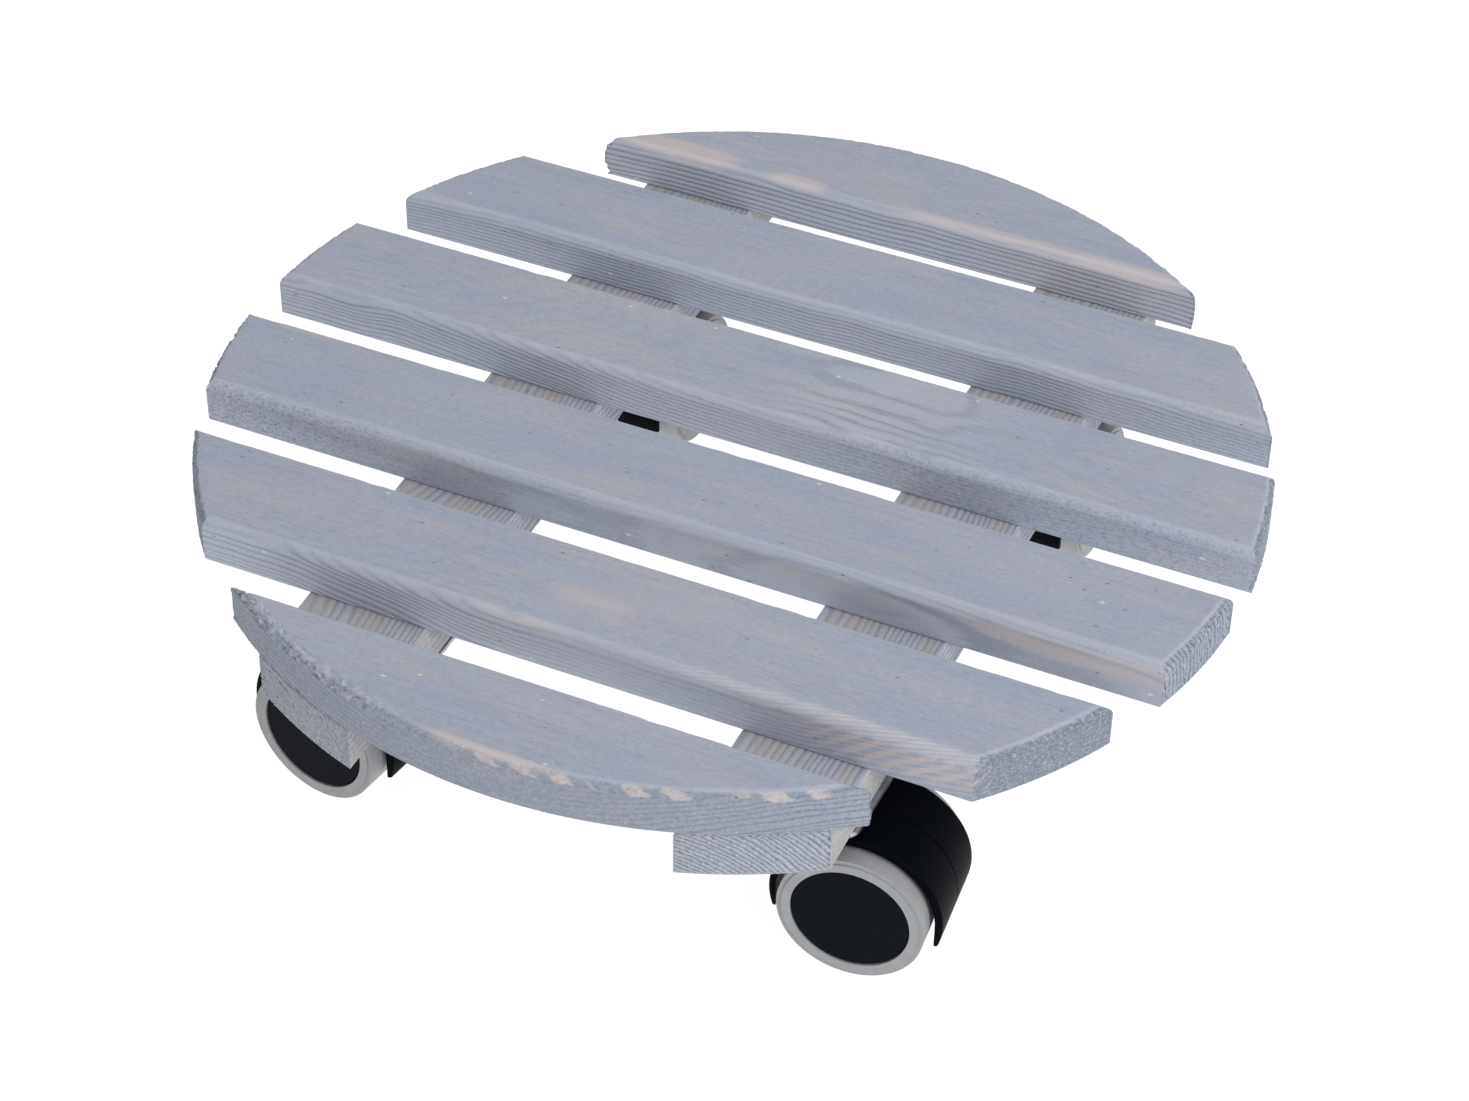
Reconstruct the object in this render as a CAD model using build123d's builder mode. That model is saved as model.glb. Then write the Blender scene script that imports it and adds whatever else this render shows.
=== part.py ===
from build123d import *

import os
from math import cos, radians, sin, tan

# A round plant pot caddy: six softwood slats lie across two battens, are screwed to them from
# below and are sawn to one circle. Four hooded twin-wheel swivel casters are screwed under the
# battens. Millimetres. The origin is on the floor under the centre of the deck, +X runs along
# the slats, +Y to the back and +Z up.

# ---- Deck ----
deck_diameter = 380
slat_count = 6
slat_width = 45
slat_gap = 23
slat_thickness = 17.5
slat_row_shift = -2.5       # the row of slats sits this far forward of the circle's centre
slat_arris = 4.5            # rounding of each slat's long top edges
sawn_edge = 4               # sanded rounding of the deck's circular top edge
board_arris = 0.8           # slight rounding of every other board edge

batten_width = 45
batten_thickness = 17.5
batten_places = {"left": -79.7, "right": 82.5}
batten_skews = {"left": 0.8, "right": 0.3}   # degrees out of square with the slats

# ---- Deck screws: countersunk, up through the batten into the slat ----
deck_screw_length = 30
deck_screw_shank = 3.5
deck_screw_head = 7
deck_screw_spread = (6, 9)  # half the distance between a slat's two screws, along X and Y
end_slat_screws = ((-9, 161), (7, 156))   # the narrow end slats: X off the batten line, Y out

# ---- The cross recess in every screw head ----
recess_length = 3.6
recess_width = 0.9
recess_depth = 1.2

# ---- Casters ----
caster_height = 61
wheel_diameter = 50.8        # the common 50 mm (2 in) furniture caster
trail = 17                  # from the swivel axis back to the wheels' axle
wheel_inner_face = 8        # from the caster's middle plane
wheel_outer_face = 23.5
# Each caster's swivel axis (X, Y) and the way its tail points at rest, in degrees from +X.
caster_places = {
    "front_right": ((88.1, -120.6), 5.2),
    "front_left": ((-74.4, -120.7), 171.3),
    "back_right": ((82.5, 120.5), -90),
    "back_left": ((-83, 120.5), -90),
}

plate_size = 38
plate_thickness = 2
plate_corner = 4
plate_edge = 0.4
plate_hole = 4.4
plate_hole_pitch = 28

plate_screw_length = 15
plate_screw_shank = 4
plate_screw_head = 8
plate_screw_head_height = 2.4
plate_screw_head_round = 1.2
plate_screw_point = 1.6

stem_diameter = 8
stem_length = 30
stem_flange_diameter = 16
stem_flange_thickness = 1.8
stem_groove_height = 4      # from the stem's lower end to its ring groove
stem_groove_depth = 0.8
stem_point = 0.8
ring_thickness = 1.2
ring_diameter = 9.6
ring_slit = 1.5

running_fit = 0.05          # radial clearance of the stem and the axle in their bores
body_gap = 0.3              # clearance between faces of pieces that turn past each other

hood_radius = 30
hood_inner_radius = 27.4
hood_half_width = 17.5
hood_drop = 8.5             # the hood's lower edge is this far below the axle
hood_edge = 0.9
collar_radius = 9
collar_edge = 1
boss_radius = 7.5
boss_drop = 4               # the stem's boss reaches this far below the stem
web_thickness = 5
web_rise = 1                # the web's lower edge is this far above the hood's
web_overlap = 0.5           # the web runs this far into the shell
seam_width = 0.5
seam_depth = 0.35

axle_diameter = 6
axle_half_length = 19.5
axle_point = 0.6

rim_radius = 21.4
rim_inner_radius = 18.6
hub_radius = 6.5
wheel_web = (12, 14.5)      # the core's disc, from the middle plane
core_draft = 0.5            # the hub and the rim taper this much towards the disc
tyre_inset = 0.4            # the tyre and the rim stand back from the hub's inner face
tread_inner_round = 1.7
tread_outer_round = 1.6
sidewall_step = 0.5         # the tyre's edge band stands back from its side face
sidewall_step_radius = 23.7
cap_radius = 20.5
cap_thickness = 2
cap_recess = 0.4
cap_edge = 0.5
cap_clip_radius = 18.4
cap_clip_depth = 3.5
cap_clip_thickness = 1
cap_clip_draft = 0.4
cap_fit = 0.1               # radial clearance of the cap in the tyre

# ---- Worked out from the above ----
deck_radius = deck_diameter / 2
wheel_radius = wheel_diameter / 2
batten_bottom = caster_height
slat_bottom = batten_bottom + batten_thickness
deck_top = slat_bottom + slat_thickness
slat_pitch = slat_width + slat_gap
slat_places = [slat_row_shift + slat_pitch * ((slat_count - 1) / 2 - i) for i in range(slat_count)]
plate_bottom = caster_height - plate_thickness
collar_top = plate_bottom - stem_flange_thickness - body_gap
stem_bottom = caster_height - stem_length
cap_outer_face = wheel_outer_face - cap_recess
cap_inner_face = cap_outer_face - cap_thickness
rim_face = cap_inner_face - body_gap / 2
rim_inner_face = wheel_inner_face + tyre_inset
half_head = deck_screw_head / 2
half_shank = deck_screw_shank / 2

os.makedirs("parts", exist_ok=True)


def save(piece, name):
    """Label a finished piece and write it as its own STEP file."""
    piece.part.label = name
    export_step(piece.part, f"parts/{name}.step")


def batten_x(side, y):
    """The X of a batten's centre line at the given Y."""
    return batten_places[side] - y * tan(radians(batten_skews[side]))


# ---- Fastener blanks: a screw stands on its own axis, its head's bearing end at Z 0 ----
with BuildPart() as deck_screw_bore:
    with BuildSketch(Plane.XZ):
        with BuildLine():
            Polyline(
                (0, 0),
                (half_head, 0),
                (half_shank, half_head - half_shank),
                (half_shank, deck_screw_length - deck_screw_shank),
                (0, deck_screw_length),
                close=True,
            )
        make_face()
    revolve(axis=Axis.Z)

with BuildPart() as deck_screw_blank:
    add(deck_screw_bore.part)
    with BuildSketch(Plane.XY):
        Rectangle(recess_length, recess_width)
        Rectangle(recess_width, recess_length)
    extrude(amount=recess_depth, mode=Mode.SUBTRACT)

with BuildPart() as plate_screw_blank:
    with BuildSketch(Plane.XY.offset(-plate_screw_head_height)):
        Circle(plate_screw_head / 2)
    extrude(amount=plate_screw_head_height)
    fillet(plate_screw_blank.faces().sort_by(Axis.Z)[0].edges(), plate_screw_head_round)
    with BuildSketch(Plane.XY):
        Circle(plate_screw_shank / 2)
    extrude(amount=plate_screw_length)
    chamfer(plate_screw_blank.faces().sort_by(Axis.Z)[-1].edges(), plate_screw_point)
    with BuildSketch(Plane.XY.offset(-plate_screw_head_height)):
        Rectangle(recess_length, recess_width)
        Rectangle(recess_width, recess_length)
    extrude(amount=recess_depth, mode=Mode.SUBTRACT)


# ---- Screw groups ----
def deck_screw_points(side):
    """Where one batten's deck screws stand: two in each slat that crosses it."""
    points = []
    for slat_y in slat_places[1:-1]:
        for sign in (-1, 1):
            y = slat_y + sign * deck_screw_spread[1]
            points.append((batten_x(side, y) + sign * deck_screw_spread[0], y, batten_bottom))
    for off_line, out in end_slat_screws:
        for end in (-1, 1):
            outward = 1 if side == "right" else -1
            x = batten_x(side, end * out) + outward * off_line
            points.append((x, end * out, batten_bottom))
    return points


for side in batten_places:
    with BuildPart() as screws:
        with Locations(*deck_screw_points(side)):
            add(deck_screw_blank.part)
    save(screws, f"{side}_deck_screws")

plate_screws = {}
for corner, (swivel, heading) in caster_places.items():
    with BuildPart() as screws:
        with Locations((swivel[0], swivel[1], plate_bottom)):
            with GridLocations(plate_hole_pitch, plate_hole_pitch, 2, 2):
                add(plate_screw_blank.part)
    save(screws, f"{corner}_plate_screws")
    plate_screws[corner] = screws.part

# ---- Deck boards ----
# The circle that the boards are sawn to, as one puck with a sanded top edge.
with BuildPart() as sawn_circle:
    with BuildSketch(Plane.XY.offset(batten_bottom)):
        Circle(deck_radius)
    extrude(amount=deck_top - batten_bottom)
    fillet(sawn_circle.faces().sort_by(Axis.Z)[-1].edges(), sawn_edge)

for number, slat_y in enumerate(slat_places, start=1):
    with BuildPart() as slat:
        with BuildSketch(Plane.YZ.offset(-deck_radius - slat_width)) as section:
            with Locations((slat_y, (slat_bottom + deck_top) / 2)):
                Rectangle(slat_width, slat_thickness)
            fillet(section.vertices().group_by(Axis.Y)[-1], slat_arris)
            fillet(section.vertices().group_by(Axis.Y)[0], board_arris)
        extrude(amount=deck_diameter + 2 * slat_width)
        add(sawn_circle.part, mode=Mode.INTERSECT)
        with Locations(*deck_screw_points("left"), *deck_screw_points("right")):
            add(deck_screw_bore.part, mode=Mode.SUBTRACT)
    save(slat, f"slat_{number}")

for side in batten_places:
    along = (-sin(radians(batten_skews[side])), cos(radians(batten_skews[side])), 0)
    middle = Vector(batten_places[side], 0, batten_bottom + batten_thickness / 2)
    batten_end = Plane(origin=middle - Vector(along) * deck_diameter / 2, z_dir=along, x_dir=(0, 0, 1))
    with BuildPart() as batten:
        with BuildSketch(batten_end) as section:
            Rectangle(batten_thickness, batten_width)
            fillet(section.vertices(), board_arris)
        extrude(amount=deck_diameter)
        add(sawn_circle.part, mode=Mode.INTERSECT)
        with Locations(*deck_screw_points(side)):
            add(deck_screw_bore.part, mode=Mode.SUBTRACT)
        for corner in caster_places:
            if corner.endswith(side):
                add(plate_screws[corner], mode=Mode.SUBTRACT)
    save(batten, f"{side}_batten")


# ---- Caster pieces: local X runs from the swivel axis to the tail, local Y across, Z up ----
def build_plate(name, floor):
    """The steel top plate, with a stem hole and four screw holes."""
    square = Plane(origin=floor.origin).offset(plate_bottom)
    with BuildPart() as plate:
        with BuildSketch(square):
            RectangleRounded(plate_size, plate_size, plate_corner)
            Circle(stem_diameter / 2, mode=Mode.SUBTRACT)
            with GridLocations(plate_hole_pitch, plate_hole_pitch, 2, 2):
                Circle(plate_hole / 2, mode=Mode.SUBTRACT)
        extrude(amount=plate_thickness)
        chamfer(plate.faces().sort_by(Axis.Z)[0].outer_wire().edges(), plate_edge)
    save(plate, name)


def build_stem(name, floor):
    """The swivel pin, with a flange under the plate and a groove for its ring."""
    radius = stem_diameter / 2
    with BuildPart() as stem:
        with BuildSketch(floor.offset(stem_bottom)):
            Circle(radius)
        extrude(amount=stem_length)
        chamfer(stem.faces().sort_by(Axis.Z)[0].edges(), stem_point)
        with BuildSketch(floor.offset(plate_bottom - stem_flange_thickness)):
            Circle(stem_flange_diameter / 2)
        extrude(amount=stem_flange_thickness)
        with BuildSketch(floor.offset(stem_bottom + stem_groove_height)):
            Circle(radius)
            Circle(radius - stem_groove_depth, mode=Mode.SUBTRACT)
        extrude(amount=ring_thickness, mode=Mode.SUBTRACT)
    save(stem, name)


def build_stem_ring(name, floor):
    """The split spring ring in the stem's groove, which keeps the hood on."""
    with BuildPart() as ring:
        with BuildSketch(floor.offset(stem_bottom + stem_groove_height)):
            Circle(ring_diameter / 2)
            Circle(stem_diameter / 2 - stem_groove_depth, mode=Mode.SUBTRACT)
            with Locations((ring_diameter / 2, 0)):
                Rectangle(ring_diameter, ring_slit, mode=Mode.SUBTRACT)
        extrude(amount=ring_thickness)
    save(ring, name)


def build_hood(name, floor, middle):
    """The moulded hood: an arched shell over both wheels, with the stem's socket in its nose."""
    hood_floor = -hood_drop
    with BuildPart() as hood:
        # The socket's column, kept only where it stands outside the arch.
        with BuildSketch(floor.offset(wheel_radius)):
            Circle(collar_radius)
        extrude(amount=collar_top - wheel_radius)
        fillet(hood.faces().sort_by(Axis.Z)[-1].edges(), collar_edge)
        with BuildSketch(middle):
            Circle(hood_inner_radius)
        extrude(amount=collar_radius, both=True, mode=Mode.SUBTRACT)
        # The shell: round outside, straight-legged inside, so that it thins to a point.
        with BuildSketch(middle):
            Circle(hood_radius)
            Circle(hood_inner_radius, mode=Mode.SUBTRACT)
            with Locations((0, -hood_radius / 2)):
                Rectangle(2 * hood_inner_radius, hood_radius, mode=Mode.SUBTRACT)
            with Locations((0, hood_floor - hood_radius)):
                Rectangle(3 * hood_radius, 2 * hood_radius, mode=Mode.SUBTRACT)
        extrude(amount=hood_half_width, both=True)
        sides = hood.edges().filter_by(GeomType.CIRCLE).filter_by(
            lambda edge: abs(edge.radius - hood_radius) < 0.01
        )
        fillet(sides, hood_edge)
        # The web between the wheels, the stem's boss and the axle's boss.
        with BuildSketch(middle):
            Circle(hood_inner_radius + web_overlap)
            with Locations((0, hood_floor - hood_radius + web_rise)):
                Rectangle(3 * hood_radius, 2 * hood_radius, mode=Mode.SUBTRACT)
        extrude(amount=web_thickness / 2, both=True)
        with BuildSketch(floor.offset(stem_bottom - boss_drop)):
            Circle(boss_radius)
        extrude(amount=collar_top - stem_bottom - boss_drop)
        with BuildSketch(middle):
            Circle(boss_radius)
        extrude(amount=wheel_inner_face - body_gap, both=True)
        # Bores for the stem, its ring and the axle, and the fine seam round the outside.
        with BuildSketch(floor.offset(stem_bottom - 1)):
            Circle(stem_diameter / 2 + running_fit)
        extrude(amount=stem_length, mode=Mode.SUBTRACT)
        with BuildSketch(floor.offset(stem_bottom + stem_groove_height - body_gap)):
            Circle(ring_diameter / 2 + body_gap)
        extrude(amount=ring_thickness + 2 * body_gap, mode=Mode.SUBTRACT)
        with BuildSketch(middle):
            Circle(axle_diameter / 2)
        extrude(amount=hood_half_width, both=True, mode=Mode.SUBTRACT)
        with BuildSketch(middle):
            Circle(hood_radius + 1)
            Circle(hood_radius - seam_depth, mode=Mode.SUBTRACT)
            with Locations((-hood_radius, 0)):
                Rectangle(1.2 * hood_radius, 3 * hood_radius, mode=Mode.SUBTRACT)
        extrude(amount=seam_width / 2, both=True, mode=Mode.SUBTRACT)
    save(hood, name)


def build_axle(name, middle):
    """The steel pin that is pressed through the hood and carries both wheels."""
    with BuildPart() as axle:
        with BuildSketch(middle):
            Circle(axle_diameter / 2)
        extrude(amount=axle_half_length, both=True)
        chamfer(axle.edges().filter_by(GeomType.CIRCLE), axle_point)
    save(axle, name)


def build_wheel_core(name, section, axis):
    """The hard wheel: hub, disc and rim, open on the outside for the cap's clip."""
    with BuildPart() as core:
        with BuildSketch(section):
            with BuildLine():
                Polyline(
                    (wheel_inner_face, axle_diameter / 2 + running_fit),
                    (wheel_inner_face, hub_radius),
                    (wheel_web[0], hub_radius + core_draft),
                    (wheel_web[0], rim_inner_radius - core_draft),
                    (rim_inner_face, rim_inner_radius),
                    (rim_inner_face, rim_radius),
                    (rim_face, rim_radius),
                    (rim_face, rim_inner_radius),
                    (wheel_web[1], rim_inner_radius - core_draft),
                    (wheel_web[1], hub_radius + core_draft),
                    (axle_half_length, hub_radius),
                    (axle_half_length, axle_diameter / 2 + running_fit),
                    close=True,
                )
            make_face()
        revolve(axis=axis)
    save(core, name)


def build_tyre(name, section, axis):
    """The soft grey tyre: a rounded tread with a stepped side face round the cap."""
    step_face = wheel_outer_face - sidewall_step
    seat_radius = cap_radius + cap_fit
    with BuildPart() as tyre:
        with BuildSketch(section) as profile:
            with BuildLine():
                Polyline(
                    (rim_inner_face, rim_radius),
                    (rim_inner_face, wheel_radius),
                    (step_face, wheel_radius),
                    (step_face, sidewall_step_radius),
                    (wheel_outer_face, sidewall_step_radius),
                    (wheel_outer_face, seat_radius),
                    (rim_face, seat_radius),
                    (rim_face, rim_radius),
                    close=True,
                )
            make_face()
            tread = profile.vertices().filter_by_position(Axis.Y, wheel_radius - 0.1, wheel_radius + 0.1)
            fillet(tread.sort_by(Axis.X)[0], tread_inner_round)
            fillet(tread.sort_by(Axis.X)[-1], tread_outer_round)
        revolve(axis=axis)
    save(tyre, name)


def build_hub_cap(name, section, axis):
    """The flat black disc that clips into the rim and closes the wheel."""
    clip_inner = cap_clip_radius - cap_clip_thickness
    with BuildPart() as cap:
        with BuildSketch(section):
            with BuildLine():
                Polyline(
                    (cap_inner_face, 0),
                    (cap_outer_face, 0),
                    (cap_outer_face, cap_radius - cap_edge),
                    (cap_outer_face - cap_edge, cap_radius),
                    (cap_inner_face, cap_radius),
                    (cap_inner_face, cap_clip_radius),
                    (cap_inner_face - cap_clip_depth, cap_clip_radius - cap_clip_draft),
                    (cap_inner_face - cap_clip_depth, clip_inner),
                    (cap_inner_face, clip_inner),
                    close=True,
                )
            make_face()
        revolve(axis=axis)
    save(cap, name)


for corner, (swivel, heading) in caster_places.items():
    tail = Vector(cos(radians(heading)), sin(radians(heading)), 0)
    across = Vector(-tail.Y, tail.X, 0)
    up = Vector(0, 0, 1)
    floor = Plane(origin=(swivel[0], swivel[1], 0), x_dir=tail, z_dir=up)
    axle_centre = Vector(swivel[0], swivel[1], wheel_radius) + tail * trail
    middle = Plane(origin=axle_centre, x_dir=tail, z_dir=-across)

    build_plate(f"{corner}_plate", floor)
    build_stem(f"{corner}_stem", floor)
    build_stem_ring(f"{corner}_stem_ring", floor)
    build_hood(f"{corner}_hood", floor, middle)
    build_axle(f"{corner}_axle", middle)
    for letter, outward in (("a", across), ("b", -across)):
        axis = Axis(axle_centre, outward)
        section = Plane(origin=axle_centre, x_dir=outward, z_dir=outward.cross(up))
        build_wheel_core(f"{corner}_wheel_core_{letter}", section, axis)
        build_tyre(f"{corner}_tyre_{letter}", section, axis)
        build_hub_cap(f"{corner}_hub_cap_{letter}", section, axis)
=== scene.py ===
import math

import bpy
import numpy as np
from mathutils import Matrix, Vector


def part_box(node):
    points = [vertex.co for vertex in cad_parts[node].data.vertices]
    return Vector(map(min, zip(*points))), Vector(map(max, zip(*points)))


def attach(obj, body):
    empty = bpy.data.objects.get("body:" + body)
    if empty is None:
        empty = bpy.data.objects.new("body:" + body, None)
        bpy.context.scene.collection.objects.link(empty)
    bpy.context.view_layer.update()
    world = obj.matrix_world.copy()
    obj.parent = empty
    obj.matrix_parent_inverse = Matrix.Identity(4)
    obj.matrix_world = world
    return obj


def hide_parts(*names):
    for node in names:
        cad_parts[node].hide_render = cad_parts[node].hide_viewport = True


# A round plant pot caddy of blue-grey glazed softwood on four hooded twin-wheel casters.
# The CAD frame gives every place. The eight boards are rebuilt with their grain, sawn ends and
# worn edges; the caster pieces and screws keep their CAD shape and get their own finishes.
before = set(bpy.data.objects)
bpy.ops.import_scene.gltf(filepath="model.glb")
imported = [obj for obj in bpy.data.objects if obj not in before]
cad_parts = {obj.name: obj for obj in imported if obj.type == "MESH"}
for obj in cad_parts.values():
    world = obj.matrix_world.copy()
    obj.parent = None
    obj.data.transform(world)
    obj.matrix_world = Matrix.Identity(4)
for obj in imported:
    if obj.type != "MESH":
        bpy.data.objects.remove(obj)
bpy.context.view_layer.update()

MM = 0.001

# Board sizes, in mm.
DECK_RADIUS = 190.0          # the circle that the boards are sawn to
HALF_WIDTH = 22.5
SLAT_ARRIS = 4.5             # rounding of a slat's long top edges
SLAT_SAWN_EDGE = 4.0         # sanded rounding where the circle cuts a slat
BATTEN_ARRIS = 0.8
BATTEN_SAWN_EDGE = 0.6
BOTTOM_EDGE = 0.5            # bevel round every board's underside
BATTEN_PLACES = {"left": -79.7, "right": 82.5}   # X of each centre line at Y 0
BATTEN_SKEWS = {"left": 0.8, "right": 0.3}       # degrees out of square
SCREW_HEAD = 7.0
SCREW_SHANK = 3.5
SCREW_SPACING = 8.0          # flat points closer than this belong to one screw head
SCREW_ROOM = 0.15            # gap round a countersunk head

# Spacing of the board meshes, in mm.
SAWN_PITCH = 0.5             # round the edge that the circle cuts
LEVEL_PITCH = 0.5            # down the sides
PLAIN_PITCH = 0.46           # across slats 2 to 5 and the battens
SLAT_STEP = 1.9              # along slats 2 to 5
BATTEN_STEP = 1.5
SEGMENT_PITCH = 0.52         # across slats 1 and 6
SEGMENT_STEP = 0.78          # along slats 1 and 6
BLUNT = 0.4                  # width left at the pointed ends of slats 1 and 6
SHARP_ANGLE = 55             # degrees between faces where smooth shading breaks

# Places in metres, angles in degrees, lens and sensor in mm.
CAMERA_PLACE = (0.3999, -0.8984, 0.8562)
CAMERA_AZIMUTH, CAMERA_ELEVATION, CAMERA_ROLL = 23.95, 39.79, 0.87
CAMERA_LENS, CAMERA_SENSOR = 86.4, 36.0
CAMERA_NEAR, CAMERA_FAR = 0.05, 30.0
FLOOR_HALF = 6.0
FLOOR_GLOW = 0.93
WORLD_STRENGTH = 0.45
LAMP_AIM = 0.06              # height that the lamps point at, over the middle of the deck
# The lamps' place, width and power in watts.
LAMPS = {"key": ((1.7, -0.9, 1.3), 1.2, 27.0), "top": ((-0.2, 0.5, 2.2), 1.6, 12.0)}


# ---- Noise and shaping, on arrays ----
def lattice(ix, iy, iz, seed):
    """A steady random number from 0 to 1 for every lattice point."""
    h = (ix * 374761393 + iy * 668265263 + iz * 1442695041 + seed * 974634777) & 0xFFFFFFFF
    h = ((h ^ (h >> 13)) * 1274126177) & 0xFFFFFFFF
    h = ((h ^ (h >> 15)) * 2246822519) & 0xFFFFFFFF
    return (h ^ (h >> 16)) / 4294967295.0


def noise(p, seed):
    """Smooth value noise, 0 to 1, at points p (n, 3)."""
    cell = np.floor(p).astype(np.int64)
    f = p - cell
    f = f * f * (3 - 2 * f)
    total = np.zeros(len(p))
    for dx in (0, 1):
        for dy in (0, 1):
            for dz in (0, 1):
                w = (f[:, 0] if dx else 1 - f[:, 0]) * (f[:, 1] if dy else 1 - f[:, 1])
                w = w * (f[:, 2] if dz else 1 - f[:, 2])
                total += w * lattice(cell[:, 0] + dx, cell[:, 1] + dy, cell[:, 2] + dz, seed)
    return total


def fractal(p, seed, octaves=3):
    """Several octaves of noise, still about 0 to 1."""
    total, weight, size = 0.0, 1.0, 0.0
    for i in range(octaves):
        total = total + weight * noise(p * 2.03 ** i, seed + i)
        size += weight
        weight *= 0.5
    return total / size


def line_noise(a, length, seed):
    """Noise that varies only along a board, over about that length."""
    p = np.zeros((len(a), 3))
    p[:, 0] = a / length
    return noise(p + 0.37, seed)


def smooth(lo, hi, x):
    """Rises smoothly from 0 at lo to 1 at hi."""
    t = np.clip((x - lo) / (hi - lo), 0, 1)
    return t * t * (3 - 2 * t)


def profile(a, pairs):
    """An amount that changes along a board, from (along, amount) pairs."""
    return np.interp(a, *zip(*pairs))


def drop(distance, radius):
    """How far a rounded edge falls at a distance in from the board's side."""
    inside = np.clip(radius - distance, 0, radius)
    return radius - np.sqrt(np.maximum(radius ** 2 - inside ** 2, 0))


def edge_steps(radius, count):
    """Distances in from a rounded edge, evenly spread round its arc."""
    return radius * (1 - np.cos(np.linspace(0, math.pi / 2, count + 1)))


def edge_count(radius, pitch):
    """How many mesh steps go round a rounded edge."""
    return round(radius * math.pi / 2 / pitch)


# ---- Board outlines as grids of (along, across) ----
def plain_grid(half, centre, arris, sawn, step):
    """A board with two long sides and both ends sawn to the circle."""
    near = edge_steps(arris, max(3, edge_count(arris, PLAIN_PITCH)))
    inner = np.arange(1, round(2 * (half - arris) / PLAIN_PITCH)) * PLAIN_PITCH
    inner = inner * 2 * (half - arris) / (PLAIN_PITCH * (len(inner) + 1))
    across = np.concatenate([near, arris + inner, 2 * half - near[::-1]]) - half
    ends = edge_steps(sawn, max(2, edge_count(sawn, SAWN_PITCH)))
    count = round(2 * (DECK_RADIUS - sawn) / step)
    middle = np.linspace(-1, 1, count + 1)[1:-1]
    # Closer columns near both ends.
    middle = middle * (1.25 - 0.25 * middle ** 2)
    rows = []
    for b in across:
        reach = np.sqrt((DECK_RADIUS - ends) ** 2 - (b + centre) ** 2)
        rows.append(np.concatenate([-reach, reach[-1] * middle, reach[::-1]]))
    a = np.array(rows)
    b = np.repeat(across[:, None], a.shape[1], axis=1)
    return a, b


def segment_grid(half, centre, arris, sawn):
    """An outermost board: one long side, and an arc for the rest. Across grows outward."""
    tip = math.sqrt(DECK_RADIUS ** 2 - (centre - half + BLUNT) ** 2)
    along = np.linspace(-tip, tip, round(2 * tip / SEGMENT_STEP) + 1)
    near = edge_steps(arris, edge_count(arris, SEGMENT_PITCH))
    far = edge_steps(sawn, edge_count(sawn, SAWN_PITCH))
    widest = min(half, DECK_RADIUS - centre) + half
    count = round((widest - arris - sawn) / SEGMENT_PITCH)
    middle = np.linspace(0, 1, count + 1)[1:-1]
    columns = []
    for a in along:
        arc = np.sqrt((DECK_RADIUS - far) ** 2 - a ** 2) - centre
        width = arc[0] + half
        # Near the tips, each rounded edge takes at most 0.45 of the width that is left.
        low = near * min(1, 0.45 * width / arris)
        high = (arc[0] - arc) * min(1, 0.45 * width / (arc[0] - arc[-1]))
        start, stop = -half + low[-1], arc[0] - high[-1]
        middle_b = start + (stop - start) * middle
        columns.append(np.concatenate([-half + low, middle_b, (arc[0] - high)[::-1]]))
    b = np.array(columns).T
    a = np.repeat(along[None, :], b.shape[0], axis=0)
    return a, b


def board_shell(a, b, top, bottom, arris, sawn, half, centre):
    """Closed mesh of a board, from its top grid, walls and bottom grid: points and quads."""
    rows, cols = a.shape
    ring = np.concatenate([
        np.arange(cols - 1),
        (cols - 1) + cols * np.arange(rows - 1),
        (rows - 1) * cols + np.arange(cols - 1, 0, -1),
        cols * np.arange(rows - 1, 0, -1),
    ])
    from_arc = DECK_RADIUS - np.hypot(a, b + centre)
    fall = np.maximum(drop(half + b, arris), drop(half - b, arris))
    fall = np.maximum(fall, drop(from_arc, sawn))
    sheet = np.stack([a, b, top - fall], -1).reshape(-1, 3)
    rim = sheet[ring]
    levels = round((top - bottom) / LEVEL_PITCH)
    walls = []
    for i in range(1, levels + 1):
        level = rim.copy()
        level[:, 2] += (bottom + BOTTOM_EDGE - rim[:, 2]) * i / levels
        walls.append(level)
    walls = np.concatenate(walls)
    middle_b = (b[0] + b[-1]) / 2
    width = b[-1] - b[0]
    inset = np.minimum(BOTTOM_EDGE, width / 4)
    under_b = middle_b + (b - middle_b) * (width - 2 * inset) / width
    reach = np.maximum(np.abs(a[:, :1]), np.abs(a[:, -1:]))
    under_a = a * (reach - BOTTOM_EDGE) / reach
    under = np.stack([under_a, under_b, np.full_like(a, bottom)], -1).reshape(-1, 3)
    points = np.concatenate([sheet, walls, under])
    base = np.arange(rows * cols).reshape(rows, cols)
    lower = base + len(sheet) + len(walls)
    n = len(ring)
    loops = [ring] + [len(sheet) + n * i + np.arange(n) for i in range(levels)]
    loops.append(lower.reshape(-1)[ring])
    faces = [base[:-1, :-1], base[:-1, 1:], base[1:, 1:], base[1:, :-1]]
    quads = [np.stack(faces, -1).reshape(-1, 4)]
    for upper, below in zip(loops[:-1], loops[1:]):
        quads.append(np.stack([upper, below, np.roll(below, -1), np.roll(upper, -1)], -1))
    faces = [lower[:-1, :-1], lower[1:, :-1], lower[1:, 1:], lower[:-1, 1:]]
    quads.append(np.stack(faces, -1).reshape(-1, 4))
    return points, np.concatenate(quads)


def vertex_normals(points, quads):
    """Area-weighted normals of a closed quad mesh."""
    one, two, three, four = (points[quads[:, k]] for k in range(4))
    face = np.cross(three - one, four - two)
    total = np.zeros_like(points)
    for k in range(4):
        np.add.at(total, quads[:, k], face)
    return total / np.maximum(np.linalg.norm(total, axis=1, keepdims=True), 1e-12)


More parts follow.
